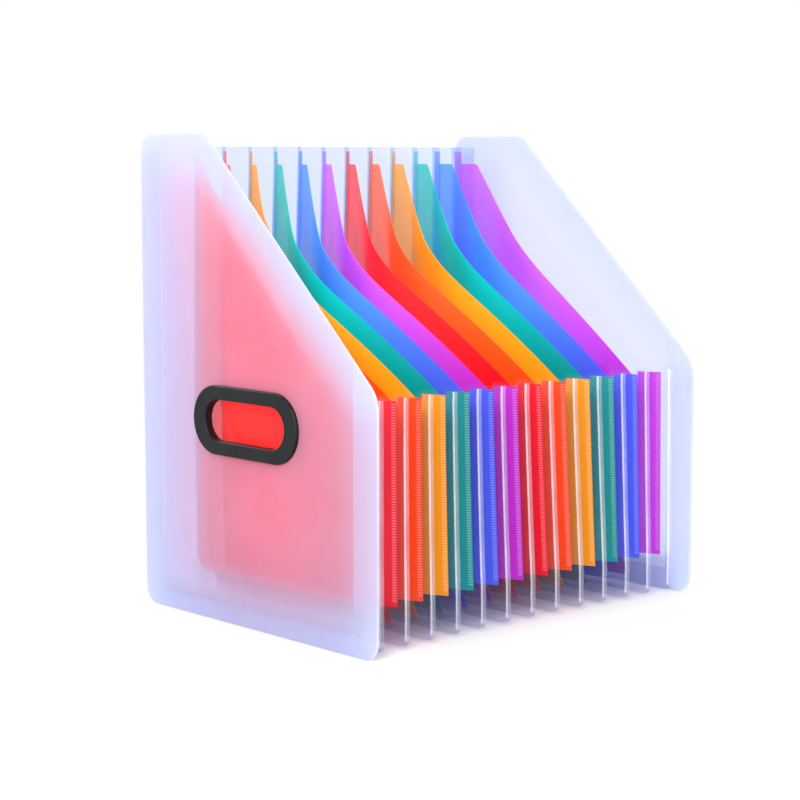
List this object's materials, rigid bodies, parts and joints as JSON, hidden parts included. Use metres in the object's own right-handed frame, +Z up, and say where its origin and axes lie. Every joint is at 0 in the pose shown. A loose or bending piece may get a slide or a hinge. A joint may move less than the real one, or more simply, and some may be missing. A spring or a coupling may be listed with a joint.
{
  "type": "accordion file folder",
  "caption": "Upright expanding file with sloped frosted covers, carrying rings, coloured divider sheets and a clear pleated bellows that opens and closes.",
  "frame": {"origin": "on the table, under the middle of the open folder", "axes": "+X from the left cover to the right cover, -Y towards the low front, +Z up"},
  "size_m": [0.2958, 0.235, 0.315],
  "materials": {
    "frosted_cover": "frosted translucent polypropylene, fine matt grain",
    "black_ring": "satin moulded plastic",
    "clear_film": "clear glossy film",
    "red_sheet": "translucent tinted polypropylene, satin",
    "orange_sheet": "translucent tinted polypropylene, satin",
    "amber_sheet": "translucent tinted polypropylene, satin",
    "teal_sheet": "translucent tinted polypropylene, satin",
    "blue_sheet": "translucent tinted polypropylene, satin",
    "purple_sheet": "translucent tinted polypropylene, satin"
  },
  "bodies": {
    "left_cover": {"left_cover": "frosted_cover", "left_handle_ring": "black_ring", "left_handle_clip": "black_ring", "bellows_pleat_01": "clear_film"},
    "divider_01": {"divider_01": "red_sheet", "divider_flange_01": "red_sheet", "bellows_pleat_02": "clear_film"},
    "divider_02": {"divider_02": "orange_sheet", "divider_flange_02": "orange_sheet", "bellows_pleat_03": "clear_film"},
    "divider_03": {"divider_03": "amber_sheet", "divider_flange_03": "amber_sheet", "bellows_pleat_04": "clear_film"},
    "divider_04": {"divider_04": "teal_sheet", "divider_flange_04": "teal_sheet", "bellows_pleat_05": "clear_film"},
    "divider_05": {"divider_05": "blue_sheet", "divider_flange_05": "blue_sheet", "bellows_pleat_06": "clear_film"},
    "divider_06": {"divider_06": "purple_sheet", "divider_flange_06": "purple_sheet", "bellows_pleat_07": "clear_film"},
    "divider_07": {"divider_07": "red_sheet", "divider_flange_07": "red_sheet", "bellows_pleat_08": "clear_film"},
    "divider_08": {"divider_08": "orange_sheet", "divider_flange_08": "orange_sheet", "bellows_pleat_09": "clear_film"},
    "divider_09": {"divider_09": "amber_sheet", "divider_flange_09": "amber_sheet", "bellows_pleat_10": "clear_film"},
    "divider_10": {"divider_10": "teal_sheet", "divider_flange_10": "teal_sheet", "bellows_pleat_11": "clear_film"},
    "divider_11": {"divider_11": "blue_sheet", "divider_flange_11": "blue_sheet", "bellows_pleat_12": "clear_film"},
    "divider_12": {"divider_12": "purple_sheet", "divider_flange_12": "purple_sheet"},
    "right_cover": {"right_cover": "frosted_cover", "right_handle_ring": "black_ring", "right_handle_clip": "black_ring", "bellows_pleat_13": "clear_film"}
  },
  "joints": [
    {"name": "expand", "type": "slide", "parent": "left_cover", "child": "right_cover", "axis": [1, 0, 0], "range_m": [-0.2535, 0], "deforming": ["divider_flange_01", "divider_flange_02", "divider_flange_03", "divider_flange_04", "divider_flange_05", "divider_flange_06", "divider_flange_07", "divider_flange_08", "divider_flange_09", "divider_flange_10", "divider_flange_11", "divider_flange_12", "bellows_pleat_01", "bellows_pleat_02", "bellows_pleat_03", "bellows_pleat_04", "bellows_pleat_05", "bellows_pleat_06", "bellows_pleat_07", "bellows_pleat_08", "bellows_pleat_09", "bellows_pleat_10", "bellows_pleat_11", "bellows_pleat_12", "bellows_pleat_13"]},
    {"name": "divider_01_slide", "type": "slide", "parent": "left_cover", "child": "divider_01", "axis": [1, 0, 0], "range_m": [-0.0195, 0]},
    {"name": "divider_02_slide", "type": "slide", "parent": "left_cover", "child": "divider_02", "axis": [1, 0, 0], "range_m": [-0.039, 0]},
    {"name": "divider_03_slide", "type": "slide", "parent": "left_cover", "child": "divider_03", "axis": [1, 0, 0], "range_m": [-0.0585, 0]},
    {"name": "divider_04_slide", "type": "slide", "parent": "left_cover", "child": "divider_04", "axis": [1, 0, 0], "range_m": [-0.078, 0]},
    {"name": "divider_05_slide", "type": "slide", "parent": "left_cover", "child": "divider_05", "axis": [1, 0, 0], "range_m": [-0.0975, 0]},
    {"name": "divider_06_slide", "type": "slide", "parent": "left_cover", "child": "divider_06", "axis": [1, 0, 0], "range_m": [-0.117, 0]},
    {"name": "divider_07_slide", "type": "slide", "parent": "left_cover", "child": "divider_07", "axis": [1, 0, 0], "range_m": [-0.1365, 0]},
    {"name": "divider_08_slide", "type": "slide", "parent": "left_cover", "child": "divider_08", "axis": [1, 0, 0], "range_m": [-0.156, 0]},
    {"name": "divider_09_slide", "type": "slide", "parent": "left_cover", "child": "divider_09", "axis": [1, 0, 0], "range_m": [-0.1755, 0]},
    {"name": "divider_10_slide", "type": "slide", "parent": "left_cover", "child": "divider_10", "axis": [1, 0, 0], "range_m": [-0.195, 0]},
    {"name": "divider_11_slide", "type": "slide", "parent": "left_cover", "child": "divider_11", "axis": [1, 0, 0], "range_m": [-0.2145, 0]},
    {"name": "divider_12_slide", "type": "slide", "parent": "left_cover", "child": "divider_12", "axis": [1, 0, 0], "range_m": [-0.234, 0]}
  ],
  "couplings": [
    {"joint": "divider_01_slide", "follows": "expand", "ratio": 0.076923},
    {"joint": "divider_02_slide", "follows": "expand", "ratio": 0.15385},
    {"joint": "divider_03_slide", "follows": "expand", "ratio": 0.23077},
    {"joint": "divider_04_slide", "follows": "expand", "ratio": 0.30769},
    {"joint": "divider_05_slide", "follows": "expand", "ratio": 0.38462},
    {"joint": "divider_06_slide", "follows": "expand", "ratio": 0.46154},
    {"joint": "divider_07_slide", "follows": "expand", "ratio": 0.53846},
    {"joint": "divider_08_slide", "follows": "expand", "ratio": 0.61538},
    {"joint": "divider_09_slide", "follows": "expand", "ratio": 0.69231},
    {"joint": "divider_10_slide", "follows": "expand", "ratio": 0.76923},
    {"joint": "divider_11_slide", "follows": "expand", "ratio": 0.84615},
    {"joint": "divider_12_slide", "follows": "expand", "ratio": 0.92308}
  ]
}
